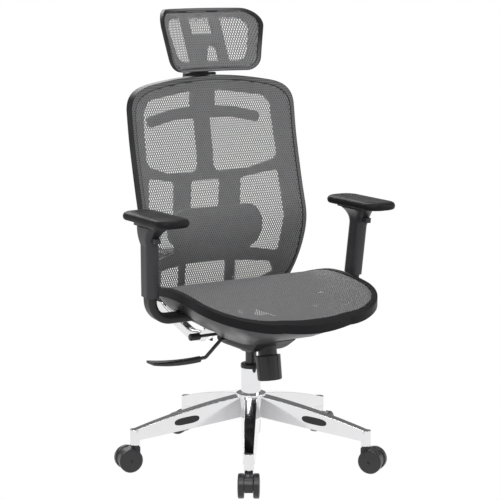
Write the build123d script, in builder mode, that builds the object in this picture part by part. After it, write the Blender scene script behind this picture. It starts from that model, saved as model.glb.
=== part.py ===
from build123d import *
from math import cos, radians, sin
import os

# Ergonomic mesh task chair, millimetres. Z is up, Z = 0 is the floor, the gas column stands
# on the origin, and the chair faces -Y, so the sitter's right hand is on the -X side.

# The drawing's heights start below the floor; save() puts the floor at Z = 0.
FLOOR = 8.4

# Base and column
ARM_COUNT = 5
FIRST_ARM = -123.0  # heading of the first base arm, degrees from +X
CASTER_RADIUS = 301.5
HUB_RADIUS = 37.5
HUB_LOW = 127.0
HUB_TOP = 184.0
TUBE_RADIUS = 25.0
TUBE_LOW = 82.0
TUBE_TOP = 250.0
TUBE_BORE = 22.0
PISTON_RADIUS = 14.0
PISTON_LOW = 128.0
PISTON_TOP = 345.0
ROD_RADIUS = 5.0
RUNNING = 0.05  # radial clearance of a shaft that turns or slides

# Casters
WHEEL_RADIUS = 30.0
WHEEL_WIDTH = 15.3
WHEEL_INSIDE = 10.6
TRAIL = 18.0
STEM_RADIUS = 5.5
ARM_TIP_LOW = 73.0
CASTER_HEADINGS = (-123.0, -55.0, 32.0, 120.0, 170.0)  # the way each caster trails

# Tilt mechanism
HOUSING_HALF = 56.0
HOUSING_LOW = 306.0
HOUSING_TOP = 384.0
BACK_PIVOT = (45.0, 350.0)  # y, z of the recline axis
SEAT_PIVOT = (-100.0, 371.0)  # y, z of the seat tilt axis
LINK_PIN = (109.0, 321.0)  # y, z of the pin that draws the seat down with the back
KNOB_LEAN = 9.57
KNOB_ORIGIN = (0.0, -75.0, 318.0)
COVER_RADIUS = 23.5
KNOB_RADIUS = 31.5

# Seat
SEAT_HALF = 250.0
SEAT_CORNER = 156.0
SEAT_FRONT = -303.0
SEAT_REAR = 118.0
RIM_DEPTH = 21.0
SEAT_CURVE = (  # y, z of the seat's upper edge, from front to rear
    (-318.0, 406.0), (-303.0, 421.0), (-252.0, 443.0), (-200.0, 457.0), (-129.0, 470.5),
    (-40.0, 478.0), (30.0, 474.0), (80.0, 462.0), (135.0, 440.0),
)
PLATE_LOW = 389.0
PLATE_TOP = 393.0

# Back
BACK_HALF = 240.0
BACK_CURVE = (  # y, z of the back's front edge, from bottom to top
    (160.0, 395.0), (140.0, 432.0), (122.0, 490.0), (111.0, 560.0), (113.0, 620.0),
    (124.0, 660.0), (145.0, 740.0), (163.0, 820.0), (175.0, 900.0), (190.0, 985.0),
)
RIB_SECTIONS = (  # z, y at the side edge, y at the middle of the rib shell's front face
    (400.0, 160.0, 222.0), (480.0, 130.0, 226.0), (560.0, 119.0, 226.0), (660.0, 130.0, 224.0),
    (751.0, 154.0, 220.0), (841.0, 174.0, 234.0), (905.0, 183.0, 236.0), (990.0, 198.0, 212.0),
)
RIB_THICKNESS = 9.0
BOLT_HEIGHTS = (496.0, 512.0)
CROSSBAR = ((830.0, BACK_HALF, 214.0, 233.0), (905.0, BACK_HALF, 217.0, 236.0))  # sections of the crossbar
YOKE_X = 74.0
YOKE_SPREAD = 9.46  # the yoke's arms part by this angle, degrees
YOKE_PATH = ((0.0, 350.0), (48.0, 321.0), (98.0, 319.0), (206.0, 368.0), (245.0, 408.0), (240.0, 524.0))

# Armrests
ARM_LEAN_Y = 5.0
ARM_BAR_Z = 406.0
ARM_BAR_Y = -14.0
ARM_FOOT_X = 295.0
ARM_LEAN_X = 3.0
TUBE_THICK = 22.0
TUBE_WIDE = 40.0
SLEEVE_THICK = 33.0
SLEEVE_WIDE = 50.0
SLEEVE_LOW = 60.0
SLEEVE_HEAD = 188.0
HEAD_TOP = 638.0
PAD_WIDTH = 90.0
PAD_LENGTH = 220.0
PAD_LOW = 645.6
PAD_TOP = 666.0
PAD_X = 290.0
HEAD_X = 297.0  # centre of the plate the pad's carrier turns on
HEAD_Y = -38.0
PAD_Y = {-1: -36.0, 1: -62.0}  # the pads slide, and the left one stands further forward

# Headrest
HEAD_SECTIONS = (  # z, half width, y at the side, y at the middle of the mesh's front face
    (968.0, 150.0, 140.0, 174.0), (1030.0, 160.0, 143.0, 206.0), (1090.0, 168.0, 143.0, 236.0),
    (1155.0, 176.0, 144.0, 269.0),
)
HEAD_PIVOT = (246.0, 1052.0)  # y, z of the headrest's tilt axis
POST_LEAN = 8.0

os.makedirs("parts", exist_ok=True)


def save(piece, name):
    """Label a finished sub-part and write its STEP file."""
    placed = Pos(0, 0, -FLOOR) * piece.part
    placed.label = name
    export_step(placed, f"parts/{name}.step")


def tube_radius(z):
    """The column's lower end tapers where it is wedged into the base hub."""
    return TUBE_RADIUS - max(0.0, HUB_TOP - z) * 0.007


def side_band(curve, above, below, half):
    """A curved sheet: a side profile given a depth and extruded across the chair."""
    points = [(y, z) for y, z in curve]
    with BuildPart() as band:
        with BuildSketch(Plane.YZ.offset(-half)):
            with BuildLine():
                upper = Spline(*[(y, z + above) for y, z in points])
                lower = Spline(*[(y, z + below) for y, z in reversed(points)])
                Line(upper @ 1, lower @ 0)
                Line(lower @ 1, upper @ 0)
            make_face()
        extrude(amount=2 * half)
    return band.part


def back_band(front, back, half):
    """The same for the back, whose depth is measured along Y."""
    with BuildPart() as band:
        with BuildSketch(Plane.YZ.offset(-half)):
            with BuildLine():
                near = Spline(*[(y + front, z) for y, z in BACK_CURVE])
                far = Spline(*[(y + back, z) for y, z in reversed(BACK_CURVE)])
                Line(near @ 1, far @ 0)
                Line(far @ 1, near @ 0)
            make_face()
        extrude(amount=2 * half)
    return band.part


def bowed_shell(sections, front, back):
    """A shell bowed rearwards in plan: a loft of arc-shaped slices at several heights."""
    with BuildPart() as shell:
        for z, half, side, middle in sections:
            with BuildSketch(Plane.XY.offset(z)):
                with BuildLine():
                    near = ThreePointArc((-half, side + front), (0, middle + front), (half, side + front))
                    far = ThreePointArc((half, side + back), (0, middle + back), (-half, side + back))
                    Line(near @ 1, far @ 0)
                    Line(far @ 1, near @ 0)
                make_face()
        loft()
    return shell.part


def seat_outline(inset):
    """The seat in plan: bowed front, straight sides, rounded corners."""
    half = SEAT_HALF - inset
    front = SEAT_FRONT - 6 + inset
    corner = SEAT_CORNER - inset
    rear = SEAT_REAR - inset
    with BuildSketch() as face:
        with BuildLine():
            bow = ThreePointArc((-half + corner, front + 10), (0, front), (half - corner, front + 10))
            right = Line((half, front + corner + 10), (half, rear - 60))
            left = Line((-half, rear - 60), (-half, front + corner + 10))
            RadiusArc(bow @ 1, right @ 0, -corner)
            rear_arc = Line((half - 60, rear), (-half + 60, rear))
            RadiusArc(right @ 1, rear_arc @ 0, -61)
            RadiusArc(rear_arc @ 1, left @ 0, -61)
            RadiusArc(left @ 1, bow @ 0, -corner)
        make_face()
    return face.sketch


def back_outline(inset):
    """The back seen from the front: crowned top, straight sides, narrowing to the seat."""
    half = BACK_HALF - inset
    top = 972.0 - inset
    low = 408.0 + inset
    with BuildSketch() as face:
        with BuildLine():
            crown = ThreePointArc((-half + 66, top - 17), (0, top), (half - 66, top - 17))
            right = Line((half, top - 84), (half, 620))
            taper = Spline(right @ 1, (half - 8, 545), (half - 30, 465), (half - 45, low + 20),
                           tangents=((0, -1), (-0.45, -1)))
            floor = Line((half - 75, low), (-half + 75, low))
            Spline(taper @ 1, floor @ 0, tangents=((-0.45, -1), (-1, 0)))
            left_taper = Spline((-half + 45, low + 20), (-half + 30, 465), (-half + 8, 545), (-half, 620),
                                tangents=((-0.45, 1), (0, 1)))
            Spline(floor @ 1, left_taper @ 0, tangents=((-1, 0), (-0.45, 1)))
            left = Line(left_taper @ 1, (-half, top - 84))
            Spline(crown @ 1, right @ 0, tangents=(crown % 1, (0, -1)))
            Spline(left @ 1, crown @ 0, tangents=((0, 1), crown % 0))
        make_face()
    return face.sketch


def head_outline(inset):
    """The headrest seen from the front: a wide trapezoid with round corners."""
    with BuildSketch() as face:
        with BuildLine():
            FilletPolyline((-154 + inset, 1139 - inset), (154 - inset, 1139 - inset),
                           (125 - inset, 983 + inset), (-125 + inset, 983 + inset),
                           radius=40 - inset * 0.8, close=True)
        make_face()
    return face.sketch


# ---------------------------------------------------------------- base and gas column

with BuildPart() as base_star:
    with BuildSketch(Plane.XY.offset(HUB_LOW)):
        Circle(HUB_RADIUS)
    extrude(amount=HUB_TOP - HUB_LOW)
    for k in range(ARM_COUNT):
        heading = radians(FIRST_ARM + 360 / ARM_COUNT * k)
        for mode, stations in (
            (Mode.ADD, ((20, 25, 17, 130, 181), (160, 20, 14, 108, 153), (CASTER_RADIUS, 14, 11, 86, 112))),
            (Mode.SUBTRACT, ((48, 19, 11, 120, 168), (160, 15, 9, 100, 146), (280, 10, 7, 80, 106))),
        ):
            for reach, low_half, top_half, low, top in stations:
                slice_plane = Plane(
                    origin=(reach * cos(heading), reach * sin(heading), 0),
                    x_dir=(-sin(heading), cos(heading), 0),
                    z_dir=(cos(heading), sin(heading), 0),
                )
                with BuildSketch(slice_plane):
                    with BuildLine():
                        Polyline((-low_half, low), (low_half, low), (top_half, top), (-top_half, top), close=True)
                    make_face()
            loft(mode=mode)
    with BuildSketch(Plane.XY.offset(ARM_TIP_LOW)):
        with PolarLocations(CASTER_RADIUS, ARM_COUNT, start_angle=FIRST_ARM):
            Circle(12.5)
    extrude(amount=112 - ARM_TIP_LOW)
    with BuildSketch(Plane.XY.offset(80)):
        Circle(tube_radius(80))
    with BuildSketch(Plane.XY.offset(HUB_TOP)):
        Circle(tube_radius(HUB_TOP))
    loft(mode=Mode.SUBTRACT)
    with BuildSketch(Plane.XY.offset(ARM_TIP_LOW)):
        with PolarLocations(CASTER_RADIUS, ARM_COUNT, start_angle=FIRST_ARM):
            Circle(STEM_RADIUS + RUNNING)
    extrude(amount=32, mode=Mode.SUBTRACT)
save(base_star, "base_star")

with BuildPart() as column_tube:
    with BuildSketch(Plane.XY.offset(TUBE_LOW)):
        Circle(tube_radius(TUBE_LOW))
    with BuildSketch(Plane.XY.offset(HUB_TOP)):
        Circle(tube_radius(HUB_TOP))
    loft()
    with BuildSketch(Plane.XY.offset(HUB_TOP)):
        Circle(TUBE_RADIUS)
    extrude(amount=TUBE_TOP - HUB_TOP)
    with BuildSketch(Plane.XY.offset(TUBE_LOW + 4)):
        Circle(TUBE_BORE)
    extrude(amount=TUBE_TOP - TUBE_LOW, mode=Mode.SUBTRACT)
    with BuildSketch(Plane.XY.offset(TUBE_LOW)):
        Circle(ROD_RADIUS + RUNNING)
    extrude(amount=4, mode=Mode.SUBTRACT)
save(column_tube, "column_tube")

with BuildPart() as column_bush:
    with BuildSketch(Plane.XY.offset(170)):
        Circle(TUBE_BORE)
    extrude(amount=TUBE_TOP - 170)
    with BuildSketch(Plane.XY.offset(TUBE_TOP)):
        Circle(26)
    extrude(amount=11)
    fillet(column_bush.edges().filter_by(GeomType.CIRCLE).sort_by(Axis.Z)[-1], 4)
    with BuildSketch(Plane.XY.offset(170)):
        Circle(PISTON_RADIUS + RUNNING)
    extrude(amount=100, mode=Mode.SUBTRACT)
save(column_bush, "column_bush")

with BuildPart() as column_clip:
    with BuildSketch(Plane.XY.offset(TUBE_LOW - 2.3)):
        Circle(9)
        Circle(ROD_RADIUS - 1, mode=Mode.SUBTRACT)
    extrude(amount=2)
save(column_clip, "column_clip")

with BuildPart() as gas_spring_rod:
    with BuildSketch(Plane.XY.offset(76)):
        Circle(ROD_RADIUS)
    extrude(amount=162)
    with BuildSketch(Plane.XY.offset(226)):
        Circle(12 - RUNNING)
    extrude(amount=12)
    with BuildSketch(Plane.XY.offset(TUBE_LOW - 2.6)):
        Circle(ROD_RADIUS)
        Circle(ROD_RADIUS - 1.05, mode=Mode.SUBTRACT)
    extrude(amount=2.6, mode=Mode.SUBTRACT)
save(gas_spring_rod, "gas_spring_rod")

with BuildPart() as thrust_bearing:
    with BuildSketch(Plane.XY.offset(TUBE_LOW + 4.2)):
        Circle(14)
        Circle(ROD_RADIUS, mode=Mode.SUBTRACT)
    extrude(amount=6.5)
save(thrust_bearing, "thrust_bearing")

with BuildPart() as gas_spring_cylinder:
    with BuildSketch(Plane.XY.offset(PISTON_LOW)):
        Circle(PISTON_RADIUS)
    extrude(amount=PISTON_TOP - PISTON_LOW)
    chamfer(gas_spring_cylinder.edges().filter_by(GeomType.CIRCLE), 1)
    with BuildSketch(Plane.XY.offset(PISTON_LOW + 6)):
        Circle(12)
    extrude(amount=PISTON_TOP - PISTON_LOW - 16, mode=Mode.SUBTRACT)
    with BuildSketch(Plane.XY.offset(PISTON_LOW)):
        Circle(ROD_RADIUS + RUNNING)
    extrude(amount=6, mode=Mode.SUBTRACT)
    with BuildSketch(Plane.XY.offset(PISTON_TOP - 10)):
        Circle(4 + RUNNING)
    extrude(amount=10, mode=Mode.SUBTRACT)
save(gas_spring_cylinder, "gas_spring_cylinder")

with BuildPart() as release_pin:
    with BuildSketch(Plane.XY.offset(PISTON_TOP - 16)):
        Circle(4)
    extrude(amount=22)
    chamfer(release_pin.edges().filter_by(GeomType.CIRCLE).sort_by(Axis.Z)[-1], 0.8)
save(release_pin, "release_pin")

# ---------------------------------------------------------------- casters

for k in range(ARM_COUNT):
    heading = radians(FIRST_ARM + 360 / ARM_COUNT * k)
    stem_x = CASTER_RADIUS * cos(heading)
    stem_y = CASTER_RADIUS * sin(heading)
    trail = radians(CASTER_HEADINGS[k])
    axle_x = stem_x + TRAIL * cos(trail)
    axle_y = stem_y + TRAIL * sin(trail)
    # Local x runs along the trail, local y is up, and the normal runs along the axle.
    wheel_plane = Plane(
        origin=(axle_x, axle_y, FLOOR + WHEEL_RADIUS),
        x_dir=(cos(trail), sin(trail), 0),
        z_dir=(sin(trail), -cos(trail), 0),
    )

    with BuildPart() as hood:
        with BuildSketch(wheel_plane):
            Circle(27)
            with BuildLine():
                Polyline((-TRAIL - 10, 8), (-TRAIL - 10, 30), (-TRAIL + 10, 30), (4, 26.5), (-10, -10), close=True)
            make_face()
            with Locations((4, -20)):
                Rectangle(60, 20, mode=Mode.SUBTRACT)
        extrude(amount=10.2, both=True)
        with BuildSketch(Plane(origin=(stem_x, stem_y, 56))):
            Circle(10)
        extrude(amount=ARM_TIP_LOW - 0.4 - 56)
        with BuildSketch(wheel_plane):
            Circle(4 + RUNNING)
        extrude(amount=12, both=True, mode=Mode.SUBTRACT)
        with BuildSketch(Plane(origin=(stem_x, stem_y, 52))):
            Circle(STEM_RADIUS)
        extrude(amount=30, mode=Mode.SUBTRACT)
    save(hood, f"caster_{k + 1}_hood")

    with BuildPart() as stem:
        with BuildSketch(Plane(origin=(stem_x, stem_y, 52))):
            Circle(STEM_RADIUS)
        extrude(amount=52.5)
        chamfer(stem.edges().filter_by(GeomType.CIRCLE).sort_by(Axis.Z)[-1], 1)
    save(stem, f"caster_{k + 1}_stem")

    with BuildPart() as wheels:
        for side in (1, -1):
            # A wheel is its half section turned about the axle.
            inner = side * WHEEL_INSIDE
            outer = side * (WHEEL_INSIDE + WHEEL_WIDTH)
            section_plane = Plane(
                origin=(axle_x, axle_y, FLOOR + WHEEL_RADIUS),
                x_dir=(sin(trail), -cos(trail), 0),
                z_dir=(-cos(trail), -sin(trail), 0),
            )
            with BuildSketch(section_plane):
                with BuildLine():
                    Polyline((inner, 4), (inner, 27.5), (inner + side * 2.5, 30), (outer - side * 2.5, 30),
                             (outer - side * 0.8, 28.4), (outer, 25.5), (outer + side * 0.8, 14),
                             (outer + side, 4), close=True)
                make_face()
            revolve(axis=Axis((axle_x, axle_y, FLOOR + WHEEL_RADIUS), (sin(trail), -cos(trail), 0)))
        with BuildSketch(wheel_plane):
            Circle(4)
        extrude(amount=WHEEL_INSIDE + WHEEL_WIDTH - 1.5, both=True, mode=Mode.ADD)
    save(wheels, f"caster_{k + 1}_wheels")

# ---------------------------------------------------------------- tilt mechanism

knob_plane = Plane(
    origin=KNOB_ORIGIN, x_dir=(1, 0, 0), z_dir=(0, sin(radians(KNOB_LEAN)), cos(radians(KNOB_LEAN)))
)

with BuildPart() as mechanism_housing:
    with BuildSketch(Plane.YZ.offset(-HOUSING_HALF)):
        with BuildLine():
            Polyline((-118, HOUSING_TOP), (-118, 336), (-70, HOUSING_LOW), (40, HOUSING_LOW), (72, 314),
                     (72, 365), (-84, HOUSING_TOP), close=True)
        make_face()
    extrude(amount=2 * HOUSING_HALF)
    fillet(mechanism_housing.edges().filter_by(Axis.Y).group_by(Axis.Z)[0], 12)
    with BuildSketch(Plane.XY.offset(HOUSING_LOW - 12)):
        Circle(24)
    with BuildSketch(Plane.XY.offset(HOUSING_LOW + 4)):
        Circle(44)
    loft()
    with BuildSketch(Plane.YZ.offset(-HOUSING_HALF + 3)):
        with BuildLine():
            Polyline((-115, HOUSING_TOP + 1), (-115, 338), (-69, HOUSING_LOW + 4), (39, HOUSING_LOW + 4),
                     (69, 318), (69, HOUSING_TOP + 1), close=True)
        make_face()
    extrude(amount=2 * HOUSING_HALF - 6, mode=Mode.SUBTRACT)
    with BuildSketch(Plane.XY.offset(HOUSING_LOW + 3)):
        Circle(20)
    extrude(amount=31)
    with BuildSketch(Plane.XY.offset(HOUSING_LOW - 14)):
        Circle(PISTON_RADIUS)
    extrude(amount=60, mode=Mode.SUBTRACT)
    with BuildSketch(knob_plane.offset(-30)):
        Circle(COVER_RADIUS)
    extrude(amount=60, mode=Mode.SUBTRACT)
    with BuildSketch(Plane.YZ.offset(-80)):
        with Locations(BACK_PIVOT):
            Circle(6)
        with Locations(SEAT_PIVOT):
            Circle(5)
        with Locations((0, 337)):
            Rectangle(16, 22)
        with Locations((22, 341)):
            Circle(4 + RUNNING)
    extrude(amount=60, mode=Mode.SUBTRACT)
    with BuildSketch(Plane.YZ.offset(40)):
        with Locations(BACK_PIVOT):
            Circle(6)
        with Locations(SEAT_PIVOT):
            Circle(5)
    extrude(amount=60, mode=Mode.SUBTRACT)
save(mechanism_housing, "mechanism_housing")

with BuildPart() as pivot_pins:
    with BuildSketch(Plane.YZ.offset(-86)):
        with Locations(BACK_PIVOT):
            Circle(6)
    extrude(amount=172)
    with BuildSketch(Plane.YZ.offset(-70)):
        with Locations(SEAT_PIVOT):
            Circle(5)
    extrude(amount=140)
    chamfer(pivot_pins.edges().filter_by(GeomType.CIRCLE), 0.8)
save(pivot_pins, "pivot_pins")

with BuildPart() as spring_cover:
    with BuildSketch(knob_plane.offset(-22)):
        Circle(COVER_RADIUS)
    extrude(amount=75)
    with BuildSketch(knob_plane.offset(-22)):
        Circle(20)
    extrude(amount=71, mode=Mode.SUBTRACT)
save(spring_cover, "spring_cover")

with BuildPart() as tension_spring:
    with BuildLine():
        coil = Helix(pitch=11, height=44, radius=13, center=knob_plane.offset(-8).origin,
                     direction=knob_plane.z_dir)
    with BuildSketch(Plane(origin=coil @ 0, z_dir=coil % 0)):
        Circle(2.2)
    sweep(is_frenet=True)
save(tension_spring, "tension_spring")

with BuildPart() as tension_bolt:
    with BuildSketch(knob_plane.offset(-76)):
        Circle(5)
    extrude(amount=116)
    with BuildSketch(knob_plane.offset(-76)):
        RegularPolygon(9, 6)
    extrude(amount=7)
save(tension_bolt, "tension_bolt")

with BuildPart() as tension_knob:
    with BuildSketch(knob_plane.offset(-84)):
        Circle(KNOB_RADIUS - 1)
    with BuildSketch(knob_plane.offset(-22.5)):
        Circle(KNOB_RADIUS)
    loft()
    fillet(tension_knob.edges().filter_by(GeomType.CIRCLE).sort_by(Axis.Z)[0], 4)
    with BuildSketch(knob_plane.offset(-90)):
        with PolarLocations(KNOB_RADIUS + 1.2, 8, start_angle=12):
            Circle(3.4)
    extrude(amount=70, mode=Mode.SUBTRACT)
    with BuildSketch(knob_plane.offset(-76)):
        Circle(26)
        Circle(12, mode=Mode.SUBTRACT)
    extrude(amount=60, mode=Mode.SUBTRACT)
    with BuildSketch(knob_plane.offset(-69)):
        Circle(13)
    extrude(amount=60, mode=Mode.SUBTRACT)
    with BuildSketch(knob_plane.offset(-76)):
        RegularPolygon(9, 6)
    extrude(amount=20, mode=Mode.SUBTRACT)
save(tension_knob, "tension_knob")

with BuildPart() as lift_lever_rod:
    with BuildLine():
        route = FilletPolyline((9, 0, 357), (-28, 0, 357), (-54, 0, 333), (-88, 0, 331), (-133, 0, 291),
                               (-172, 0, 289), radius=8)
    with BuildSketch(Plane(origin=route @ 0, z_dir=route % 0)):
        Circle(4.5)
    sweep()
save(lift_lever_rod, "lift_lever_rod")

with BuildPart() as lift_lever_paddle:
    with BuildSketch(Plane(origin=(-150, 0, 289), x_dir=(0, 1, 0), z_dir=(-1, 0, 0))):
        RectangleRounded(17, 15, 7)
    with BuildSketch(Plane(origin=(-215, 0, 288), x_dir=(0, 1, 0), z_dir=(-1, 0, 0))):
        RectangleRounded(24, 13, 6)
    with BuildSketch(Plane(origin=(-291, -4, 297.5), x_dir=(0, 1, 0), z_dir=(-1, 0, 0))):
        RectangleRounded(40, 7, 3.4)
    loft()
    with BuildSketch(Plane(origin=(-149, 0, 290.18), z_dir=(-39, 0, -2))):
        Circle(4.5)
    extrude(amount=23.1, mode=Mode.SUBTRACT)
save(lift_lever_paddle, "lift_lever_paddle")

with BuildPart() as tilt_lock_rod:
    with BuildSketch(Plane(origin=(-150, 22, 341), z_dir=(1, 0, 0))):
        Circle(4)
    extrude(amount=112)
    with BuildSketch(Plane(origin=(-46, 22, 341), z_dir=(1, 0, 0))):
        Circle(7)
    extrude(amount=8)
save(tilt_lock_rod, "tilt_lock_rod")

with BuildPart() as tilt_lock_grip:
    with BuildSketch(Plane(origin=(-166, 22, 341), z_dir=(1, 0, 0))):
        Circle(9)
    extrude(amount=30)
    fillet(tilt_lock_grip.edges().filter_by(GeomType.CIRCLE), 4)
    with BuildSketch(Plane(origin=(-150, 22, 341), z_dir=(1, 0, 0))):
        Circle(4)
    extrude(amount=20, mode=Mode.SUBTRACT)
save(tilt_lock_grip, "tilt_lock_grip")

# ---------------------------------------------------------------- seat

with BuildPart() as seat_plate:
    with BuildSketch(Plane.XY.offset(PLATE_LOW)):
        with Locations((0, -16)):
            RectangleRounded(236, 288, 18)
        with Locations((0, -20)):
            RectangleRounded(70, 120, 14, mode=Mode.SUBTRACT)
    extrude(amount=PLATE_TOP - PLATE_LOW)
    for x in (-64.5, 60.5):
        with BuildSketch(Plane.YZ.offset(x)):
            with BuildLine():
                Polyline((-126, PLATE_TOP - 1), (-112, 358), (-88, 358), (-74, PLATE_TOP - 1), close=True)
            make_face()
            with BuildLine():
                Polyline((84, PLATE_TOP - 1), (86, 308), (124, 308), (126, PLATE_TOP - 1), close=True)
            make_face()
            with Locations(SEAT_PIVOT):
                Circle(5 + RUNNING, mode=Mode.SUBTRACT)
            with Locations((LINK_PIN[0] - 3.7, LINK_PIN[1] + 0.5)):
                SlotOverall(26, 14, mode=Mode.SUBTRACT)
        extrude(amount=4)
    with BuildSketch(Plane.XY.offset(PLATE_LOW)):
        for x in (-88, 88):
            for y in (ARM_BAR_Y - 10, ARM_BAR_Y + 10):
                with Locations((x, y)):
                    Circle(4)
    extrude(amount=10, mode=Mode.SUBTRACT)
save(seat_plate, "seat_plate")

SHELL_STATIONS = (  # z, half width, front y, rear y, corner radius of the under-shell
    (347.0, 108.0, -150.0, 46.0, 30.0),
    (376.0, 150.0, -222.0, 74.0, 60.0),
    (412.0, 206.0, -272.0, 96.0, 70.0),
    (480.0, 246.0, -300.0, 112.0, 80.0),
)
with BuildPart() as seat_shell:
    for mode, skin in ((Mode.ADD, 0.0), (Mode.SUBTRACT, 3.5)):
        for z, half, front, rear, corner in SHELL_STATIONS:
            height = z + skin if z < 400 else z
            with BuildSketch(Plane(origin=(0, (front + rear) / 2, height))):
                RectangleRounded(2 * (half - skin), rear - front - 2 * skin, corner - skin)
        loft(mode=mode)
    add(side_band(SEAT_CURVE, 120, -RIM_DEPTH, 300), mode=Mode.SUBTRACT)
    # clearance for the mechanism, and for the yoke behind it
    with BuildSketch(Plane.XY.offset(340)):
        with Locations((0, 5)):
            Rectangle(150, 262)
        with Locations((0, 58)):
            Rectangle(246, 166)
    extrude(amount=56, mode=Mode.SUBTRACT)
    with BuildSketch(Plane.YZ.offset(-300)):
        with Locations((ARM_BAR_Y, ARM_BAR_Z)):
            Rectangle(TUBE_WIDE + 10, TUBE_THICK + 8)
    extrude(amount=600, mode=Mode.SUBTRACT)
save(seat_shell, "seat_shell")

with BuildPart() as seat_rim:
    add(side_band(SEAT_CURVE, 0, -RIM_DEPTH, 300))
    with BuildSketch(Plane.XY.offset(350)):
        add(seat_outline(0))
        add(seat_outline(15), mode=Mode.SUBTRACT)
    extrude(amount=200, mode=Mode.INTERSECT)
save(seat_rim, "seat_rim")

with BuildPart() as seat_mesh:
    add(side_band(SEAT_CURVE, -2, -4, 300))
    with BuildSketch(Plane.XY.offset(350)):
        add(seat_outline(15))
    extrude(amount=200, mode=Mode.INTERSECT)
save(seat_mesh, "seat_mesh")

with BuildPart() as seat_bolts:
    for x in (-88, 88):
        for y in (ARM_BAR_Y - 10, ARM_BAR_Y + 10):
            with BuildSketch(Plane(origin=(x, y, PLATE_LOW - 4))):
                Circle(7)
            extrude(amount=4)
            with BuildSketch(Plane(origin=(x, y, PLATE_LOW))):
                Circle(4)
            extrude(amount=16)
save(seat_bolts, "seat_bolts")

# ---------------------------------------------------------------- armrests

for side, name in ((-1, "right"), (1, "left")):
    # The arm's own plane: x across the chair, y up the leaning post, normal fore and aft.
    lean = radians(ARM_LEAN_Y)
    arm_plane = Plane(
        origin=(0, ARM_BAR_Y, ARM_BAR_Z), x_dir=(1, 0, 0), z_dir=(0, -cos(lean), -sin(lean))
    )
    splay = radians(ARM_LEAN_X)
    foot_x = side * ARM_FOOT_X
    post_top = (foot_x + side * 178 * sin(splay), 178 * cos(splay))
    up = arm_plane.x_dir * (side * sin(splay)) + arm_plane.y_dir * cos(splay)
    post_foot = arm_plane.origin + arm_plane.x_dir * foot_x

    with BuildPart() as arm_tube:
        with BuildLine(arm_plane):
            route = FilletPolyline((side * 62, 0), (foot_x, 0), post_top, radius=52)
        with BuildSketch(Plane(origin=route @ 0, x_dir=arm_plane.z_dir, z_dir=route % 0)):
            RectangleRounded(TUBE_WIDE, TUBE_THICK, 9)
        sweep()
        with BuildSketch(Plane.XY.offset(PLATE_TOP)):
            for y in (ARM_BAR_Y - 10, ARM_BAR_Y + 10):
                with Locations((side * 88, y)):
                    Circle(4)
        extrude(amount=12, mode=Mode.SUBTRACT)
    save(arm_tube, f"arm_tube_{name}")

    def post_plane(distance, foot=post_foot, along=up, across=arm_plane.z_dir):
        """The plane square to the post at a distance up it from the bar's centre line."""
        return Plane(origin=foot + along * distance, x_dir=across, z_dir=along)

    head = post_plane(226).origin
    head_centre = (side * HEAD_X, HEAD_Y)

    with BuildPart() as arm_upright:
        with BuildSketch(post_plane(SLEEVE_LOW)):
            RectangleRounded(SLEEVE_WIDE, SLEEVE_THICK, 14)
        extrude(amount=SLEEVE_HEAD - SLEEVE_LOW)
        with BuildSketch(post_plane(SLEEVE_HEAD)):
            RectangleRounded(SLEEVE_WIDE, SLEEVE_THICK, 14)
        with BuildSketch(Plane(origin=(head.X, head.Y + 2, 614), x_dir=(0, -1, 0), z_dir=(0, 0, 1))):
            RectangleRounded(SLEEVE_WIDE + 12, SLEEVE_THICK + 6, 16)
        with BuildSketch(Plane(origin=(*head_centre, HEAD_TOP), x_dir=(0, -1, 0), z_dir=(0, 0, 1))):
            RectangleRounded(96, 58, 24)
        loft()
        with BuildSketch(post_plane(SLEEVE_LOW)):
            RectangleRounded(TUBE_WIDE + 0.8, TUBE_THICK + 0.8, 9.4)
        extrude(amount=124, mode=Mode.SUBTRACT)
        with BuildSketch(post_plane(200)):
            with Locations((28, 0)):
                Rectangle(26, 16.8)
        extrude(amount=12.8, mode=Mode.SUBTRACT)
    save(arm_upright, f"arm_upright_{name}")

    with BuildPart() as arm_button:
        with BuildSketch(post_plane(200.4)):
            with Locations((32, 0)):
                RectangleRounded(24, 16, 3)
        extrude(amount=12)
    save(arm_button, f"arm_button_{name}")

    with BuildPart() as pad_carrier:
        with BuildSketch(Plane(origin=(*head_centre, HEAD_TOP + 0.4))):
            RectangleRounded(54, 130, 20)
        extrude(amount=PAD_LOW - 0.4 - HEAD_TOP - 0.4)
    save(pad_carrier, f"pad_carrier_{name}")

    with BuildPart() as arm_pad:
        with BuildSketch(Plane(origin=(side * PAD_X, PAD_Y[side], PAD_LOW))):
            RectangleRounded(PAD_WIDTH - 14, PAD_LENGTH - 14, 30)
        with BuildSketch(Plane(origin=(side * PAD_X, PAD_Y[side], PAD_LOW + 10))):
            RectangleRounded(PAD_WIDTH, PAD_LENGTH, 36)
        with BuildSketch(Plane(origin=(side * PAD_X, PAD_Y[side], PAD_TOP - 4))):
            RectangleRounded(PAD_WIDTH - 2, PAD_LENGTH - 2, 36)
        with BuildSketch(Plane(origin=(side * PAD_X, PAD_Y[side], PAD_TOP))):
            RectangleRounded(PAD_WIDTH - 14, PAD_LENGTH - 14, 30)
        loft(ruled=True)
    save(arm_pad, f"arm_pad_{name}")

# ---------------------------------------------------------------- back

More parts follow.
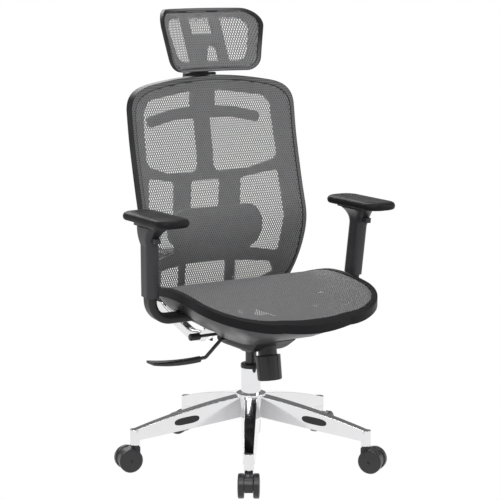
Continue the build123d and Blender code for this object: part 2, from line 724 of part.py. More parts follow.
spread = radians(YOKE_SPREAD)
with BuildPart() as back_yoke:
    for side in (-1, 1):
        # Each arm of the yoke bends in its own upright plane.
        yoke_plane = Plane(
            origin=(side * YOKE_X, BACK_PIVOT[0], 0),
            x_dir=(side * sin(spread), cos(spread), 0),
            z_dir=(cos(spread), -side * sin(spread), 0),
        )
        with BuildLine(yoke_plane):
            bend = FilletPolyline(*YOKE_PATH, radius=(40, 60, 60, 40))
        with BuildSketch(Plane(origin=bend @ 0, x_dir=yoke_plane.z_dir, z_dir=bend % 0)):
            RectangleRounded(22, 26, 5)
        sweep()
        with BuildSketch(Plane.YZ.offset(side * YOKE_X - 11)):
            with Locations(BACK_PIVOT):
                Circle(18)
        extrude(amount=22)
    with BuildSketch(Plane.YZ.offset(-100)):
        with Locations(BACK_PIVOT):
            Circle(6 + RUNNING)
        with Locations(LINK_PIN):
            Circle(5)
    extrude(amount=200, mode=Mode.SUBTRACT)
    with BuildSketch(Plane.XZ.offset(-240)):
        for x in (-111, 111):
            for z in BOLT_HEIGHTS:
                with Locations((x, z)):
                    Circle(4)
    extrude(amount=-80, mode=Mode.SUBTRACT)
save(back_yoke, "back_yoke")

with BuildPart() as link_pin:
    with BuildSketch(Plane.YZ.offset(-94)):
        with Locations(LINK_PIN):
            Circle(5)
    extrude(amount=188)
    chamfer(link_pin.edges().filter_by(GeomType.CIRCLE), 0.8)
save(link_pin, "link_pin")

RIBS = tuple((z, BACK_HALF, side_y, middle) for z, side_y, middle in RIB_SECTIONS)

with BuildPart() as back_bracket:
    with BuildSketch(Plane.XZ.offset(-190)):
        with BuildLine():
            FilletPolyline((-130, 488), (130, 488), (130, 521), (-130, 521), radius=10, close=True)
        make_face()
    extrude(amount=-82)
    add(bowed_shell(RIBS, -200, RIB_THICKNESS), mode=Mode.SUBTRACT)
    add(back_yoke.part, mode=Mode.SUBTRACT)
    with BuildSketch(Plane.XZ.offset(-240)):
        for x in (-111, 111):
            for z in BOLT_HEIGHTS:
                with Locations((x, z)):
                    Circle(4)
    extrude(amount=-80, mode=Mode.SUBTRACT)
save(back_bracket, "back_bracket")

with BuildPart() as back_bolts:
    for x in (-111, 111):
        for z in BOLT_HEIGHTS:
            with BuildSketch(Plane.XZ.offset(-256)):
                with Locations((x, z)):
                    Circle(4)
            extrude(amount=-43)
            with BuildSketch(Plane.XZ.offset(-299)):
                with Locations((x, z)):
                    Circle(7)
            extrude(amount=-5)
save(back_bolts, "back_bolts")

with BuildPart() as back_frame:
    add(bowed_shell(RIBS, 0, RIB_THICKNESS))
    with BuildSketch(Plane.XZ):
        add(back_outline(3))
        for side in (-1, 1):
            # upper window, parted by the free-ended rib below its top
            with BuildLine():
                FilletPolyline((side * 22, 720), (side * 120, 726), (side * 196, 752), (side * 190, 888),
                               (side * 172, 913), (side * 22, 934), radius=22, close=True)
            make_face(mode=Mode.SUBTRACT)
            # window outside the lumbar pad
            with BuildLine():
                FilletPolyline((side * 98, 702), (side * 194, 722), (side * 204, 600), (side * 190, 506),
                               (side * 98, 519), radius=10, close=True)
            make_face(mode=Mode.SUBTRACT)
            # bottom side window
            with BuildLine():
                FilletPolyline((side * 80, 484), (side * 172, 478), (side * 186, 452), (side * 150, 430),
                               (side * 80, 424), radius=8, close=True)
            make_face(mode=Mode.SUBTRACT)
        with Locations((0, 612)):
            RectangleRounded(88, 178, 8, mode=Mode.SUBTRACT)
        with Locations((0, 455)):
            RectangleRounded(124, 62, 8, mode=Mode.SUBTRACT)
    extrude(amount=-400, mode=Mode.INTERSECT)
    # the crossbar stands straighter than the shell, and its ends are free
    with BuildSketch(Plane.XZ):
        for side in (-1, 1):
            with BuildLine():
                FilletPolyline((0, 862), (side * 90, 858), (side * 162, 842), (side * 168, 868),
                               (side * 92, 886), (0, 892), radius=10, close=True)
            make_face()
    bar = extrude(amount=-400, mode=Mode.PRIVATE)
    add(bar.intersect(bowed_shell(CROSSBAR, 0, RIB_THICKNESS)))
    # socket that guides the headrest post
    with BuildSketch(Plane.XY.offset(880)):
        with Locations((0, 238)):
            RectangleRounded(66, 30, 8)
    extrude(amount=56)
    along_post = (0, sin(radians(POST_LEAN)), cos(radians(POST_LEAN)))
    with BuildSketch(Plane(origin=(0, 236, 870), x_dir=(1, 0, 0), z_dir=along_post)):
        Rectangle(48.6, 12.6)
    extrude(amount=120, mode=Mode.SUBTRACT)
save(back_frame, "back_frame")

with BuildPart() as back_rim:
    add(back_band(-1, 26, 300))
    with BuildSketch(Plane.XZ):
        add(back_outline(0))
        add(back_outline(11), mode=Mode.SUBTRACT)
    extrude(amount=-400, mode=Mode.INTERSECT)
    add(back_frame.part, mode=Mode.SUBTRACT)
save(back_rim, "back_rim")

with BuildPart() as back_mesh:
    add(back_band(1, 3, 300))
    with BuildSketch(Plane.XZ):
        add(back_outline(11))
    extrude(amount=-400, mode=Mode.INTERSECT)
save(back_mesh, "back_mesh")

with BuildPart() as lumbar_pad:
    with BuildSketch(Plane.XY.offset(520)):
        with BuildLine():
            near = ThreePointArc((-140, 168), (0, 150), (140, 168))
            far = ThreePointArc((140, 178), (0, 163), (-140, 178))
            Line(near @ 1, far @ 0)
            Line(far @ 1, near @ 0)
        make_face()
    extrude(amount=128)
    with BuildSketch(Plane.XZ):
        with Locations((0, 584)):
            SlotOverall(280, 112)
    extrude(amount=-400, mode=Mode.INTERSECT)
    for x in (-71, 71):
        with BuildSketch(Plane.XY.offset(560)):
            with Locations((x, 188.5)):
                Rectangle(16, 49)
        extrude(amount=48)
save(lumbar_pad, "lumbar_pad")

# ---------------------------------------------------------------- headrest

post_tilt = radians(POST_LEAN)
with BuildPart() as headrest_post:
    with BuildSketch(Plane(origin=(0, 236, 870), x_dir=(1, 0, 0), z_dir=(0, sin(post_tilt), cos(post_tilt)))):
        Rectangle(48, 12)
    extrude(amount=150)
    with BuildSketch(Plane.YZ.offset(-24)):
        with BuildLine():
            FilletPolyline((250, 1008), (262, 1010), (262, HEAD_PIVOT[1] + 2), (256, HEAD_PIVOT[1] + 9),
                           (240, HEAD_PIVOT[1] + 9), (238, HEAD_PIVOT[1] - 9), (250, HEAD_PIVOT[1] - 16),
                           radius=3, close=True)
        make_face()
    extrude(amount=48)
    with BuildSketch(Plane.YZ.offset(-30)):
        with Locations(HEAD_PIVOT):
            Circle(4 + RUNNING)
    extrude(amount=60, mode=Mode.SUBTRACT)
save(headrest_post, "headrest_post")

with BuildPart() as headrest_frame:
    add(bowed_shell(HEAD_SECTIONS, -1, 15))
    with BuildSketch(Plane.XZ):
        add(head_outline(0))
        add(head_outline(8), mode=Mode.SUBTRACT)
    extrude(amount=-500, mode=Mode.INTERSECT)
    # the H-shaped rib behind the mesh, with two ears for the hinge pin
    with BuildSketch(Plane.XZ.offset(-100)):
        for x in (-44, 44):
            with Locations((x, 1061)):
                Rectangle(26, 170)
        add(head_outline(6), mode=Mode.INTERSECT)
    uprights = extrude(amount=-250, mode=Mode.PRIVATE)
    add(uprights.intersect(bowed_shell(HEAD_SECTIONS, 7, 15)))
    with BuildSketch(Plane.XZ.offset(-100)):
        with Locations((0, 1062)):
            Rectangle(88, 24)
    crossbar = extrude(amount=-250, mode=Mode.PRIVATE)
    add(crossbar.intersect(bowed_shell(HEAD_SECTIONS, 4, 9)))
    for x in (-36, 29):
        with BuildSketch(Plane.YZ.offset(x)):
            with BuildLine():
                Polyline((234, 1072), (220, 1040), (HEAD_PIVOT[0] + 4, HEAD_PIVOT[1] - 9),
                         (HEAD_PIVOT[0] + 9, HEAD_PIVOT[1]), (HEAD_PIVOT[0] + 4, HEAD_PIVOT[1] + 10), close=True)
            make_face()
        extrude(amount=7)
    with BuildSketch(Plane.YZ.offset(-40)):
        with Locations(HEAD_PIVOT):
            Circle(4)
    extrude(amount=80, mode=Mode.SUBTRACT)
save(headrest_frame, "headrest_frame")

with BuildPart() as headrest_mesh:
    add(bowed_shell(HEAD_SECTIONS, 1, 3))
    with BuildSketch(Plane.XZ):
        add(head_outline(8.3))
    extrude(amount=-500, mode=Mode.INTERSECT)
save(headrest_mesh, "headrest_mesh")

with BuildPart() as headrest_pin:
    with BuildSketch(Plane.YZ.offset(-36)):
        with Locations(HEAD_PIVOT):
            Circle(4)
    extrude(amount=72)
save(headrest_pin, "headrest_pin")
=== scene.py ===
from math import cos, pi, radians, sin

import bmesh
import bpy
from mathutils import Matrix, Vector
from mathutils.bvhtree import BVHTree

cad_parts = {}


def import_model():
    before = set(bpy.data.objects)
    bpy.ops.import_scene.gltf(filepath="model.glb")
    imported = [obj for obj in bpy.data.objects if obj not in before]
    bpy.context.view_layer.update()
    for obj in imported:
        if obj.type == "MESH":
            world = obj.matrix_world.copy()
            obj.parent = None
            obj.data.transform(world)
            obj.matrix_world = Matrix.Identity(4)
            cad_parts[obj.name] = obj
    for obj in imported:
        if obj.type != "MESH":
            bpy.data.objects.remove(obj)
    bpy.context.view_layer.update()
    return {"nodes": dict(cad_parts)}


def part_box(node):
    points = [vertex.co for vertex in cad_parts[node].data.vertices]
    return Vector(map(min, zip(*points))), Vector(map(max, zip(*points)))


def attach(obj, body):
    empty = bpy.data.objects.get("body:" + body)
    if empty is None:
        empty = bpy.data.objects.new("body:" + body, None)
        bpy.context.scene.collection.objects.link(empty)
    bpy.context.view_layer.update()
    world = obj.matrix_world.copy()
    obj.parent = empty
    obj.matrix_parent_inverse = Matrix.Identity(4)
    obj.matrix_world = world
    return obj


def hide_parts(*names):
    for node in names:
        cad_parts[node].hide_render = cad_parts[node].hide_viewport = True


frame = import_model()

nodes = frame["nodes"]
scene = bpy.context.scene
scene.view_settings.view_transform = "Standard"
scene.view_settings.look = "None"

CASTERS = range(1, 6)


# ---------------------------------------------------------------- materials

def new_material(name):
    m = bpy.data.materials.new(name)
    m.use_nodes = True
    m.node_tree.nodes.clear()
    return m, m.node_tree.nodes, m.node_tree.links


def moulded(name, base, rough, metallic=0.0, grain=900.0, depth=0.00004, spread=0.12, bevel=0.0009,
            wear=0.25, specular=0.5, stretch=(1, 1, 1)):
    """Plastic, paint or metal: fine grain, patchy gloss, slight colour drift, rounded and worn edges."""
    m, n, l = new_material(name)
    out = n.new("ShaderNodeOutputMaterial")
    bsdf = n.new("ShaderNodeBsdfPrincipled")
    bsdf.inputs["Metallic"].default_value = metallic
    bsdf.inputs["Specular IOR Level"].default_value = specular
    where = n.new("ShaderNodeTexCoord")
    mapping = n.new("ShaderNodeMapping")
    mapping.inputs["Scale"].default_value = stretch
    l.new(where.outputs["Object"], mapping.inputs["Vector"])
    fine = n.new("ShaderNodeTexNoise")
    fine.inputs["Scale"].default_value = grain
    fine.inputs["Detail"].default_value = 3
    l.new(mapping.outputs[0], fine.inputs["Vector"])
    broad = n.new("ShaderNodeTexNoise")
    broad.inputs["Scale"].default_value = 14
    broad.inputs["Detail"].default_value = 5
    l.new(where.outputs["Object"], broad.inputs["Vector"])
    # edges: where the rounded normal leaves the true one
    rounded = n.new("ShaderNodeBevel")
    rounded.samples = 4
    rounded.inputs["Radius"].default_value = bevel
    geometry = n.new("ShaderNodeNewGeometry")
    agree = n.new("ShaderNodeVectorMath")
    agree.operation = "DOT_PRODUCT"
    l.new(rounded.outputs[0], agree.inputs[0])
    l.new(geometry.outputs["Normal"], agree.inputs[1])
    edge = n.new("ShaderNodeMapRange")
    edge.inputs["From Min"].default_value = 0.97
    edge.inputs["From Max"].default_value = 0.82
    edge.inputs["To Max"].default_value = wear
    l.new(agree.outputs["Value"], edge.inputs["Value"])
    colour = n.new("ShaderNodeMapRange")
    colour.inputs["From Min"].default_value = 0.3
    colour.inputs["From Max"].default_value = 0.7
    colour.inputs["To Min"].default_value = 1 - spread
    colour.inputs["To Max"].default_value = 1 + spread
    l.new(broad.outputs["Fac"], colour.inputs["Value"])
    tint = n.new("ShaderNodeMix")
    tint.data_type = "RGBA"
    tint.blend_type = "MULTIPLY"
    tint.inputs["Factor"].default_value = 1
    tint.inputs["A"].default_value = (*base, 1)
    l.new(colour.outputs[0], tint.inputs["B"])
    worn = n.new("ShaderNodeMix")
    worn.data_type = "RGBA"
    l.new(edge.outputs[0], worn.inputs["Factor"])
    l.new(tint.outputs["Result"], worn.inputs["A"])
    worn.inputs["B"].default_value = (*[min(1, c * 1.6 + 0.03) for c in base], 1)
    l.new(worn.outputs["Result"], bsdf.inputs["Base Color"])
    gloss = n.new("ShaderNodeMapRange")
    gloss.inputs["From Min"].default_value = 0.3
    gloss.inputs["From Max"].default_value = 0.7
    gloss.inputs["To Min"].default_value = rough * 0.82
    gloss.inputs["To Max"].default_value = min(1, rough * 1.22)
    l.new(broad.outputs["Fac"], gloss.inputs["Value"])
    l.new(gloss.outputs[0], bsdf.inputs["Roughness"])
    bump = n.new("ShaderNodeBump")
    bump.inputs["Strength"].default_value = 0.6
    bump.inputs["Distance"].default_value = depth
    l.new(fine.outputs["Fac"], bump.inputs["Height"])
    l.new(rounded.outputs[0], bump.inputs["Normal"])
    l.new(bump.outputs[0], bsdf.inputs["Normal"])
    l.new(bsdf.outputs[0], out.inputs[0])
    return m


def knitted(name, base):
    """Yarn of the net: twisted filament lines, a soft sheen and a slight change of shade."""
    m, n, l = new_material(name)
    out = n.new("ShaderNodeOutputMaterial")
    bsdf = n.new("ShaderNodeBsdfPrincipled")
    bsdf.inputs["Roughness"].default_value = 0.62
    bsdf.inputs["Sheen Weight"].default_value = 0.15
    bsdf.inputs["Sheen Roughness"].default_value = 0.5
    where = n.new("ShaderNodeTexCoord")
    twist = n.new("ShaderNodeTexWave")
    twist.inputs["Scale"].default_value = 420
    twist.inputs["Distortion"].default_value = 3
    twist.bands_direction = "DIAGONAL"
    l.new(where.outputs["Object"], twist.inputs["Vector"])
    shade = n.new("ShaderNodeTexNoise")
    shade.inputs["Scale"].default_value = 60
    l.new(where.outputs["Object"], shade.inputs["Vector"])
    level = n.new("ShaderNodeMapRange")
    level.inputs["To Min"].default_value = 0.8
    level.inputs["To Max"].default_value = 1.2
    l.new(shade.outputs["Fac"], level.inputs["Value"])
    strands = n.new("ShaderNodeMapRange")
    strands.inputs["To Min"].default_value = 0.72
    strands.inputs["To Max"].default_value = 1.15
    l.new(twist.outputs["Fac"], strands.inputs["Value"])
    both = n.new("ShaderNodeMath")
    both.operation = "MULTIPLY"
    l.new(level.outputs[0], both.inputs[0])
    l.new(strands.outputs[0], both.inputs[1])
    tint = n.new("ShaderNodeMix")
    tint.data_type = "RGBA"
    tint.blend_type = "MULTIPLY"
    tint.inputs["Factor"].default_value = 1
    tint.inputs["A"].default_value = (*base, 1)
    l.new(both.outputs[0], tint.inputs["B"])
    l.new(tint.outputs["Result"], bsdf.inputs["Base Color"])
    bump = n.new("ShaderNodeBump")
    bump.inputs["Strength"].default_value = 0.7
    bump.inputs["Distance"].default_value = 0.0002
    l.new(twist.outputs["Fac"], bump.inputs["Height"])
    l.new(bump.outputs[0], bsdf.inputs["Normal"])
    l.new(bsdf.outputs[0], out.inputs[0])
    return m


def wrapped(name, plain, yarn, behind):
    """A rim with the net pulled over its front face: yarn pattern in front, bare plastic elsewhere."""
    m = plain.copy()
    m.name = name
    n, l = m.node_tree.nodes, m.node_tree.links
    bsdf = next(k for k in n if k.type == "BSDF_PRINCIPLED")
    where = n.new("ShaderNodeTexCoord")
    facing = n.new("ShaderNodeSeparateXYZ")
    l.new(where.outputs["Normal"], facing.inputs[0])
    front = n.new("ShaderNodeMapRange")
    front.inputs["From Min"].default_value = -0.72
    front.inputs["From Max"].default_value = -0.86
    l.new(facing.outputs["Y"], front.inputs["Value"])
    # a bare line along the rim's edges, where the net is tucked in
    turned = n.new("ShaderNodeBevel")
    turned.samples = 6
    turned.inputs["Radius"].default_value = 0.0045
    surface = n.new("ShaderNodeNewGeometry")
    same = n.new("ShaderNodeVectorMath")
    same.operation = "DOT_PRODUCT"
    l.new(turned.outputs[0], same.inputs[0])
    l.new(surface.outputs["Normal"], same.inputs[1])
    clear = n.new("ShaderNodeMapRange")
    clear.inputs["From Min"].default_value = 0.90
    clear.inputs["From Max"].default_value = 0.97
    l.new(same.outputs["Value"], clear.inputs["Value"])
    covered = n.new("ShaderNodeMath")
    covered.operation = "MULTIPLY"
    l.new(front.outputs[0], covered.inputs[0])
    l.new(clear.outputs[0], covered.inputs[1])
    place = n.new("ShaderNodeSeparateXYZ")
    l.new(where.outputs["Object"], place.inputs[0])
    across = n.new("ShaderNodeCombineXYZ")
    l.new(place.outputs["X"], across.inputs["X"])
    l.new(place.outputs["Z"], across.inputs["Y"])
    cells = n.new("ShaderNodeTexBrick")
    cells.inputs["Scale"].default_value = 1000
    cells.inputs["Brick Width"].default_value = 6
    cells.inputs["Row Height"].default_value = 6
    cells.inputs["Mortar Size"].default_value = 1.1
    cells.inputs["Mortar Smooth"].default_value = 0.3
    cells.inputs["Color1"].default_value = (*behind, 1)
    cells.inputs["Color2"].default_value = (*behind, 1)
    cells.inputs["Mortar"].default_value = (*yarn, 1)
    l.new(across.outputs[0], cells.inputs["Vector"])
    for socket, over in (("Base Color", cells.outputs["Color"]), ("Roughness", None)):
        old = bsdf.inputs[socket].links[0].from_socket
        mix = n.new("ShaderNodeMix")
        mix.data_type = "RGBA" if over else "FLOAT"
        a, b = [k for k in mix.inputs if k.name in "AB" and k.type == ("RGBA" if over else "VALUE")]
        l.new(covered.outputs[0], mix.inputs["Factor"])
        l.new(old, a)
        if over:
            l.new(over, b)
        else:
            b.default_value = 0.65
        result = next(k for k in mix.outputs if k.type == ("RGBA" if over else "VALUE"))
        l.new(result, bsdf.inputs[socket])
    return m


CHROME = moulded("chromed", (0.80, 0.80, 0.81), 0.09, metallic=1, grain=300, depth=0.000004, spread=0.03,
                 bevel=0.0016, wear=0.1)
STEEL = moulded("steel", (0.55, 0.55, 0.56), 0.3, metallic=1, grain=500, depth=0.00001, spread=0.06,
                bevel=0.0006, stretch=(1, 1, 8))
PISTON = moulded("piston_black", (0.035, 0.035, 0.038), 0.22, grain=400, depth=0.00001, bevel=0.0005)
BLACK = moulded("black_plastic", (0.022, 0.022, 0.024), 0.40, specular=0.35)
ARM = moulded("arm_plastic", (0.024, 0.023, 0.026), 0.36, bevel=0.0014, specular=0.35)
DARK = moulded("rib_plastic", (0.036, 0.036, 0.038), 0.5, bevel=0.0012, specular=0.4)
RIM = moulded("rim_plastic", (0.006, 0.006, 0.007), 0.45, bevel=0.0022, wear=0.1, specular=0.14)
WHEEL = moulded("wheel_plastic", (0.022, 0.022, 0.024), 0.30, bevel=0.0012, specular=0.4)
PAINT = moulded("painted_steel", (0.014, 0.014, 0.015), 0.40, grain=500, depth=0.00005, bevel=0.0018,
                specular=0.3)
PAD = moulded("pad_skin", (0.009, 0.009, 0.010), 0.48, grain=1400, depth=0.00008, spread=0.1, bevel=0.001,
              wear=0.05, specular=0.1)
SLOT = moulded("slot_plastic", (0.012, 0.012, 0.013), 0.6, bevel=0.0003, wear=0.05)
YARN = knitted("net_yarn", (0.130, 0.130, 0.133))
SEAT_YARN = knitted("net_yarn_seat", (0.088, 0.088, 0.091))
BACK_RIM = wrapped("back_rim_plastic", RIM, (0.118, 0.118, 0.121), (0.05, 0.05, 0.052))
HEAD_RIM = wrapped("head_rim_plastic", RIM, (0.118, 0.118, 0.121), (0.05, 0.05, 0.052))


def paint(material, *names):
    """Give CAD nodes one material."""
    for name in names:
        o = nodes[name]
        o.data.materials.clear()
        o.data.materials.append(material)


paint(CHROME, "base_star", "column_tube", "back_yoke")
paint(PISTON, "gas_spring_cylinder", "seat_bolts", "back_bolts", "lift_lever_rod", "tilt_lock_rod",
      "link_pin")
paint(STEEL, "gas_spring_rod", "thrust_bearing", "column_clip", "release_pin", "pivot_pins", "tension_bolt",
      "tension_spring", "headrest_pin", *[f"caster_{k}_stem" for k in CASTERS])
paint(BLACK, "column_bush", "spring_cover", "tension_knob", "lift_lever_paddle", "tilt_lock_grip",
      "seat_shell", "back_bracket", "headrest_post", "pad_carrier_right", "pad_carrier_left",
      "arm_button_right", "arm_button_left")
paint(ARM, "arm_upright_right", "arm_upright_left")
paint(DARK, "back_frame", "lumbar_pad")
paint(RIM, "seat_rim")
paint(BACK_RIM, "back_rim")
paint(HEAD_RIM, "headrest_frame")
paint(WHEEL, *[f"caster_{k}_hood" for k in CASTERS], *[f"caster_{k}_wheels" for k in CASTERS])
paint(PAINT, "mechanism_housing", "seat_plate", "arm_tube_right", "arm_tube_left")


# ---------------------------------------------------------------- helpers

def add_mesh(name, verts, faces, material, smooth=True):
    """A new mesh object in the scene."""
    data = bpy.data.meshes.new(name)
    data.from_pydata(verts, [], faces)
    data.update()
    o = bpy.data.objects.new(name, data)
    scene.collection.objects.link(o)
    o.data.materials.append(material)
    for p in data.polygons:
        p.use_smooth = smooth
    return o


def tree_of(node):
    """A CAD node's surface, ready to be met by rays."""
    bm = bmesh.new()
    bm.from_mesh(nodes[node].data)
    tree = BVHTree.FromBMesh(bm)
    bm.free()
    return tree


def between_rings(first, count, rings):
    """Quads that join rings of count points each, which follow one another in the list of points."""
    faces = []
    for ring in range(rings - 1):
        for j in range(count):
            a = first + ring * count + j
            b = first + ring * count + (j + 1) % count
            faces.append((a, b, b + count, a + count))
    return faces


def turn_outward(o, merge=None):
    """Join points closer than merge, point a piece's faces outward and shade them smoothly."""
    bm = bmesh.new()
    bm.from_mesh(o.data)
    if merge:
        bmesh.ops.remove_doubles(bm, verts=bm.verts, dist=merge)
    bmesh.ops.recalc_face_normals(bm, faces=bm.faces)
    bm.to_mesh(o.data)
    bm.free()
    for p in o.data.polygons:
        p.use_smooth = True


# ---------------------------------------------------------------- nets
# A cell is a tall hexagon around one hole, with its points up and down. Rows are staggered by half a pitch.
# Sizes in metres.

PITCH = 0.006
ROW = 0.006
HOLE_HALF = 0.00108
HOLE_TIP = 0.0028
HOLE_SHOULDER = 0.0015
CELL_POINT = ROW * 2 / 3 + 0.0004
CELL_SHOULDER = ROW - CELL_POINT
HAIR = 3e-5


def hexagon(u, v, half, point, shoulder):
    """Six corners round a middle, from the top point."""
    return [(u, v + point), (u + half, v + shoulder), (u + half, v - shoulder),
            (u, v - point), (u - half, v - shoulder), (u - half, v + shoulder)]


def net(name, node, body, material, cast, start, hole_scale=1.0):
    """A stretched net that lies on the CAD sheet, and ends on the sheet's edge."""
    tree = tree_of(node)
    low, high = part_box(node)
    found = {}
    verts = []

    def corner(u, v):
        """The number of a point on the sheet, and whether it is inside the sheet's edge."""
        key = (round(u * 1e6), round(v * 1e6))
        if key not in found:
            origin, direction = cast(u, v, start)
            # a ray that misses by a hair is tried again beside it
            for nudge in (0, HAIR, -HAIR):
                aside = Vector((nudge, 0.7 * nudge, 0.6 * nudge))
                hit = tree.ray_cast(origin + aside, direction)[0]
                if hit:
                    break
            inside = hit is not None
            if not inside:
                middle = origin + direction * ((Vector(high) - Vector(low)).length / 2)
                depth = (tree.find_nearest(middle)[0] - origin).dot(direction)
                hit = tree.find_nearest(origin + direction * depth)[0]
            found[key] = (len(verts), inside)
            verts.append(hit)
        return found[key]

    axis_v = 2 if cast is from_front else 1
    u_count = int((high[0] - low[0]) / PITCH) + 2
    v_count = int((high[axis_v] - low[axis_v]) / ROW) + 2
    u_mid = (high[0] + low[0]) / 2
    v_mid = (high[axis_v] + low[axis_v]) / 2
    half = PITCH / 2
    opening = [size * hole_scale for size in (HOLE_HALF, HOLE_TIP, HOLE_SHOULDER)]
    faces = []
    for j in range(-v_count // 2, v_count // 2 + 1):
        for i in range(-u_count // 2, u_count // 2 + 1):
            u = u_mid + i * PITCH + (half if j % 2 else 0)
            v = v_mid + j * ROW
            ring = [corner(*p) for p in hexagon(u, v, half, CELL_POINT, CELL_SHOULDER)]
            if sum(inside for _, inside in ring) < 3:
                continue
            hole = [corner(*p) for p in hexagon(u, v, *opening)]
            if not all(inside for _, inside in hole):
                faces.append([k for k, _ in ring])
                continue
            for a in range(6):
                b = (a + 1) % 6
                faces.append([ring[a][0], ring[b][0], hole[b][0], hole[a][0]])
    o = add_mesh(name, [tuple(p) for p in verts], faces, material)
    bm = bmesh.new()
    bm.from_mesh(o.data)
    bmesh.ops.delete(bm, geom=[p for p in bm.verts if not p.link_faces], context="VERTS")
    bmesh.ops.dissolve_degenerate(bm, dist=1e-5, edges=bm.edges)
    bm.to_mesh(o.data)
    bm.free()
    for p in o.data.polygons:
        p.use_smooth = True
    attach(o, body)
    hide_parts(node)


def from_front(u, v, start):
    return Vector((u, start, v)), Vector((0, 1, 0))


def from_above(u, v, start):
    return Vector((u, v, start)), Vector((0, 0, -1))


net("back_net", "back_mesh", "back", YARN, from_front, -0.5)
net("headrest_net", "headrest_mesh", "headrest", YARN, from_front, -0.5)
net("seat_net", "seat_mesh", "seat", SEAT_YARN, from_above, 1.0, hole_scale=0.65)


# ---------------------------------------------------------------- arm pads

PAD_CORNER = 0.036
PAD_WAIST = 0.035


def rounded_outline(half_x, half_y, radius, count=12):
    """Points round a rectangle with round corners, anticlockwise."""
    points = []
    mid_x, mid_y = half_x - radius, half_y - radius
    for quarter, (sx, sy) in enumerate(((1, 1), (-1, 1), (-1, -1), (1, -1))):
        for k in range(count + 1):
            a = radians(90 * quarter + 90 * k / count)
            points.append((sx * mid_x + radius * cos(a), sy * mid_y + radius * sin(a)))
    return points


def arm_pad(name):
    """The soft pad of one arm, crowned and slightly narrower in the middle."""
    low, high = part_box(f"arm_pad_{name}")
    cx = (low[0] + high[0]) / 2
    cy = (low[1] + high[1]) / 2
    hx = (high[0] - low[0]) / 2
    hy = (high[1] - low[1]) / 2
    z0, z1 = low[2], high[2]
    # (inset, height) up the side and in over the crown
    profile = ((0.008, z0), (0.0035, z0 + 0.0012), (0.001, z0 + 0.004), (0.0, z0 + 0.009),
               (0.0006, z1 - 0.0075), (0.003, z1 - 0.0035), (0.007, z1 - 0.0014), (0.013, z1 - 0.0004),
               (0.021, z1), (0.030, z1 - 0.0008), (0.038, z1 - 0.0016))
    verts = []
    for inset, z in profile:
        radius = max(0.004, PAD_CORNER - inset * 0.8)
        for x, y in rounded_outline(hx - inset, hy - inset, min(radius, hx - inset - 0.001)):
            waist = 1 - PAD_WAIST * (1 - (y / hy) ** 2) ** 2
            verts.append((cx + x * waist, cy + y, z))
    count = len(verts) // len(profile)
    top = len(verts) - count
    faces = between_rings(0, count, len(profile))
    faces.append(tuple(reversed(range(count))))
    faces.append(tuple(range(top, top + count)))
    o = add_mesh(f"pad_{name}", verts, faces, PAD)
    turn_outward(o, merge=1e-5)
    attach(o, f"arm_pad_{name}")
    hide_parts(f"arm_pad_{name}")


arm_pad("right")
arm_pad("left")


# ---------------------------------------------------------------- trim

def nearest_on(tree, point, normal, lift):
    """The point of a CAD surface met from outside along a normal, lifted off it."""
    hit = tree.ray_cast(point + normal * 0.06, -normal)[0]
    return hit + normal * lift


FIRST_ARM, ARM_STEP = -123, 72
SLOT_REACH, SLOT_Z, SLOT_SLOPE, SLOT_HALF, SLOT_TALL = 0.172, 0.120, -0.15, 0.032, 0.009
SLOT_POINTS = 36
BAND_X, BAND_Z = 0.021, 0.016
BAND_POINTS, BAND_RINGS = 120, 5
GUIDE_HALF = 0.046


def rounded_end(value, power):
    """A sine or cosine drawn out towards its limits, which squares off an oval."""
    return abs(value) ** power * (1 if value >= 0 else -1)


def base_slots():
    """The long dark slots in the sides of two of the base's arms."""
    tree = tree_of("base_star")
    turns = [2 * pi * j / SLOT_POINTS for j in range(SLOT_POINTS)]
    rim = [(SLOT_HALF * rounded_end(cos(a), 0.6), SLOT_TALL * rounded_end(sin(a), 0.8)) for a in turns]
    verts = []
    faces = []
    for k in (1, 4):
        heading = radians(FIRST_ARM + ARM_STEP * k)
        along = Vector((cos(heading), sin(heading), 0))
        for side in (1, -1):
            normal = Vector((-sin(heading), cos(heading), 0)) * side
            first = len(verts)
            for scale, lift in ((1.0, -0.0003), (0.985, 0.0005), (0.9, 0.0006), (0.0, 0.0006)):
                for u, v in (rim if scale else [(0, 0)]):
                    height = SLOT_Z + v * scale + SLOT_SLOPE * u * scale
                    point = along * (SLOT_REACH + u * scale) + Vector((0, 0, height))
                    verts.append(tuple(nearest_on(tree, point, normal, lift)))
            faces += between_rings(first, SLOT_POINTS, 3)
            last = first + 2 * SLOT_POINTS
            for j in range(SLOT_POINTS):
                faces.append((last + j, last + (j + 1) % SLOT_POINTS, last + SLOT_POINTS))
    o = add_mesh("base_slots", verts, faces, SLOT)
    turn_outward(o)
    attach(o, "base")


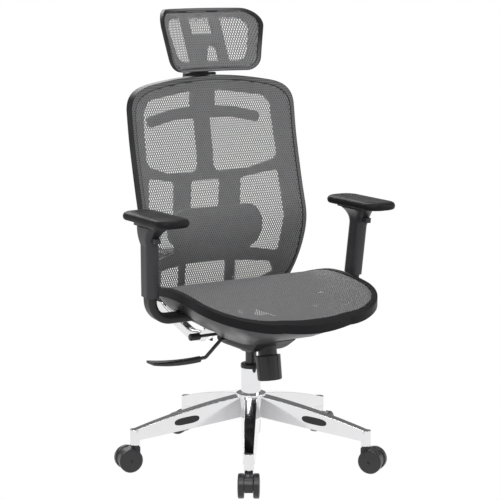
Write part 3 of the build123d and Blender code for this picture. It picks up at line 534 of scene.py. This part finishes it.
def head_band():
    """The moulded band behind the headrest net, from the rim in to the windows."""
    tree = tree_of("headrest_mesh")
    low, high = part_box("headrest_mesh")
    mid = Vector(((low[0] + high[0]) / 2, 0, (low[2] + high[2]) / 2))
    half_x = (high[0] - low[0]) / 2
    half_z = (high[2] - low[2]) / 2
    behind = Vector((0, 1, 0))
    edge = []
    for j in range(BAND_POINTS):
        a = 2 * pi * j / BAND_POINTS
        way = Vector((cos(a), 0, sin(a) * 0.55))
        # the sheet's edge lies between near and far
        near, far = 0.0, 0.3
        for _ in range(18):
            test = mid + way * ((near + far) / 2) + behind
            if tree.ray_cast(test, -behind)[0] is None:
                far = (near + far) / 2
            else:
                near = (near + far) / 2
        edge.append(way * (near - 0.0004))
    verts = []
    for lift in (0.0006, 0.0022):
        for ring in range(BAND_RINGS):
            share = ring / (BAND_RINGS - 1)
            for out in edge:
                x = out.x * (1 - share * BAND_X / half_x)
                z = out.z * (1 - share * BAND_Z / half_z)
                hit = tree.ray_cast(mid + Vector((x, 1, z)), -behind)[0]
                verts.append((hit.x, hit.y + lift, hit.z))
    layer = BAND_RINGS * BAND_POINTS
    faces = between_rings(0, BAND_POINTS, BAND_RINGS) + between_rings(layer, BAND_POINTS, BAND_RINGS)
    for first in (0, layer - BAND_POINTS):
        for j in range(BAND_POINTS):
            a, b = first + j, first + (j + 1) % BAND_POINTS
            faces.append((a, b, layer + b, layer + a))
    o = add_mesh("headrest_band", verts, faces, DARK)
    turn_outward(o)
    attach(o, "headrest")


def post_guide():
    """The wide moulded guide that the headrest post comes out of."""
    tree = tree_of("headrest_post")
    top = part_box("back_rim")[1][2]
    front = tree.ray_cast(Vector((0, -1, top)), Vector((0, 1, 0)))[0].y
    rear = tree.ray_cast(Vector((0, 2, top)), Vector((0, -1, 0)))[0].y
    cy = (front + rear) / 2
    hy = (rear - front) / 2 + 0.006
    # (inset, height) up the side and over the top edge
    profile = ((0.006, top - 0.034), (0.0, top - 0.026), (0.0, top + 0.0015), (0.0008, top + 0.0035),
               (0.003, top + 0.0045), (0.006, top + 0.0048))
    verts = []
    for inset, z in profile:
        for x, y in rounded_outline(GUIDE_HALF - inset, hy - inset, 0.008 - inset * 0.6, 6):
            verts.append((x, cy + y, z))
    count = len(verts) // len(profile)
    faces = between_rings(0, count, len(profile))
    faces.append(tuple(reversed(range(count))))
    faces.append(tuple(range(len(verts) - count, len(verts))))
    o = add_mesh("post_guide", verts, faces, BLACK, smooth=False)
    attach(o, "back")


base_slots()
head_band()
post_guide()


# ---------------------------------------------------------------- floor, light, camera

def floor():
    """A plain white floor, large enough to fill every view."""
    m, n, l = new_material("floor")
    half = 40.0
    corners = [(-half, -half, 0), (half, -half, 0), (half, half, 0), (-half, half, 0)]
    o = add_mesh("floor", corners, [(0, 1, 2, 3)], m)
    out = n.new("ShaderNodeOutputMaterial")
    glow = n.new("ShaderNodeEmission")
    glow.inputs["Color"].default_value = (1, 1, 1, 1)
    glow.inputs["Strength"].default_value = 1.0
    l.new(glow.outputs[0], out.inputs[0])


def world():
    """Studio surroundings: bright at the horizon and overhead, with a dark band between."""
    w = bpy.data.worlds.new("studio")
    scene.world = w
    w.use_nodes = True
    n, l = w.node_tree.nodes, w.node_tree.links
    n.clear()
    out = n.new("ShaderNodeOutputWorld")
    back = n.new("ShaderNodeBackground")
    where = n.new("ShaderNodeTexCoord")
    split = n.new("ShaderNodeSeparateXYZ")
    l.new(where.outputs["Generated"], split.inputs[0])
    ramp = n.new("ShaderNodeValToRGB")
    e = ramp.color_ramp.elements
    e[0].position = 0.0
    e[0].color = (1, 1, 1, 1)
    e[1].position = 1.0
    e[1].color = (0.75, 0.75, 0.75, 1)
    for position, level in ((0.10, 1.0), (0.22, 0.22), (0.45, 0.15), (0.62, 0.7)):
        step = e.new(position)
        step.color = (level, level, level, 1)
    l.new(split.outputs["Z"], ramp.inputs["Fac"])
    l.new(ramp.outputs["Color"], back.inputs["Color"])
    back.inputs["Strength"].default_value = 1.0
    l.new(back.outputs[0], out.inputs[0])


def area_light(name, place, aim, size, power):
    data = bpy.data.lights.new(name, "AREA")
    data.shape = "RECTANGLE"
    data.size, data.size_y = size
    data.energy = power
    o = bpy.data.objects.new(name, data)
    scene.collection.objects.link(o)
    o.location = place
    o.rotation_euler = (Vector(aim) - Vector(place)).to_track_quat("-Z", "Y").to_euler()


def camera():
    """A long lens, aimed near the middle of the chair."""
    azimuth, elevation, distance = radians(-32), radians(9.84), 4.395
    back = Vector((sin(azimuth) * cos(elevation), -cos(azimuth) * cos(elevation), sin(elevation)))
    right = Vector((cos(azimuth), sin(azimuth), 0))
    target = right * -0.0025 + Vector((0, 0, 0.5406))
    data = bpy.data.cameras.new("camera")
    data.lens = 126.9
    data.sensor_width = 36
    o = bpy.data.objects.new("camera", data)
    scene.collection.objects.link(o)
    o.location = target + back * distance
    o.rotation_euler = (-back).to_track_quat("-Z", "Y").to_euler()
    scene.camera = o


floor()
world()
area_light("key", (-2.6, -2.2, 3.2), (0, 0, 0.6), (2.4, 2.4), 110)
area_light("fill", (2.8, -2.4, 2.0), (0, 0, 0.6), (2.0, 2.6), 55)
area_light("back", (0.6, 3.2, 2.8), (0, 0, 0.7), (2.6, 1.6), 90)
area_light("top", (0, 0, 4.0), (0, 0, 0), (2.5, 2.5), 50)
camera()
